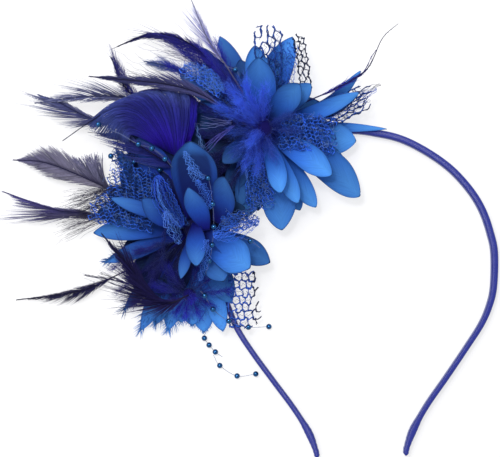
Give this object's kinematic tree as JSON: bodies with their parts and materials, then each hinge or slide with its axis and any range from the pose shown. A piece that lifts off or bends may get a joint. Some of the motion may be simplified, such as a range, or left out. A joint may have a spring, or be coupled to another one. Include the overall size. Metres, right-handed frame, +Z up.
{
  "type": "feather fascinator",
  "caption": "Hair fascinator: two blue feather-petal flowers with marabou, long feathers, net and small beads on a narrow satin headband.",
  "frame": {"origin": "middle of the bounding box's bottom face, on the surface that the fascinator lies on", "axes": "+Z up, away from the surface; +Y towards the top of the band's arch; +X to the right, away from the flowers"},
  "size_m": [0.2225, 0.2045, 0.0367],
  "materials": {
    "satin_band": "indigo satin ribbon",
    "dark_felt": "matte felt",
    "petal_feather": "matte dyed feather",
    "marabou": "soft fluff",
    "dark_feather": "slightly glossy feather",
    "blue_feather": "slightly glossy feather",
    "grey_feather": "slate-grey feather",
    "net": "crisp nylon net",
    "pearl_bead": "glossy pearl bead on clear thread"
  },
  "bodies": {
    "root": {"headband": "satin_band", "felt_base": "dark_felt", "flower_a_outer_petals": "petal_feather", "flower_a_middle_petals": "petal_feather", "flower_a_inner_petals": "petal_feather", "flower_b_outer_petals": "petal_feather", "flower_b_middle_petals": "petal_feather", "flower_b_inner_petals": "petal_feather", "marabou_a": "marabou", "marabou_b": "marabou", "feather_black_top": "dark_feather", "feather_black_curl": "dark_feather", "feather_black_low": "dark_feather", "feather_black_hackle": "dark_feather", "feather_dark_thin": "dark_feather", "feather_fork": "blue_feather", "feather_broad_blue": "blue_feather", "feather_pale_plume": "grey_feather", "feather_pale_long": "grey_feather", "feather_slate_upper": "grey_feather", "feather_slate_low": "grey_feather", "feather_grey_upper": "grey_feather", "feather_violet_upper": "grey_feather", "feather_violet_lower": "grey_feather", "net_a_top": "net", "net_a_right": "net", "net_a_low": "net", "net_a_left": "net", "net_b_right": "net", "net_b_low": "net", "net_b_left": "net", "net_b_fold": "net", "beads_centre": "pearl_bead", "beads_lower": "pearl_bead", "beads_hanging": "pearl_bead", "beads_to_band": "pearl_bead", "beads_upper": "pearl_bead", "beads_left": "pearl_bead", "beads_right": "pearl_bead", "bead_top": "pearl_bead"}
  },
  "joints": []
}
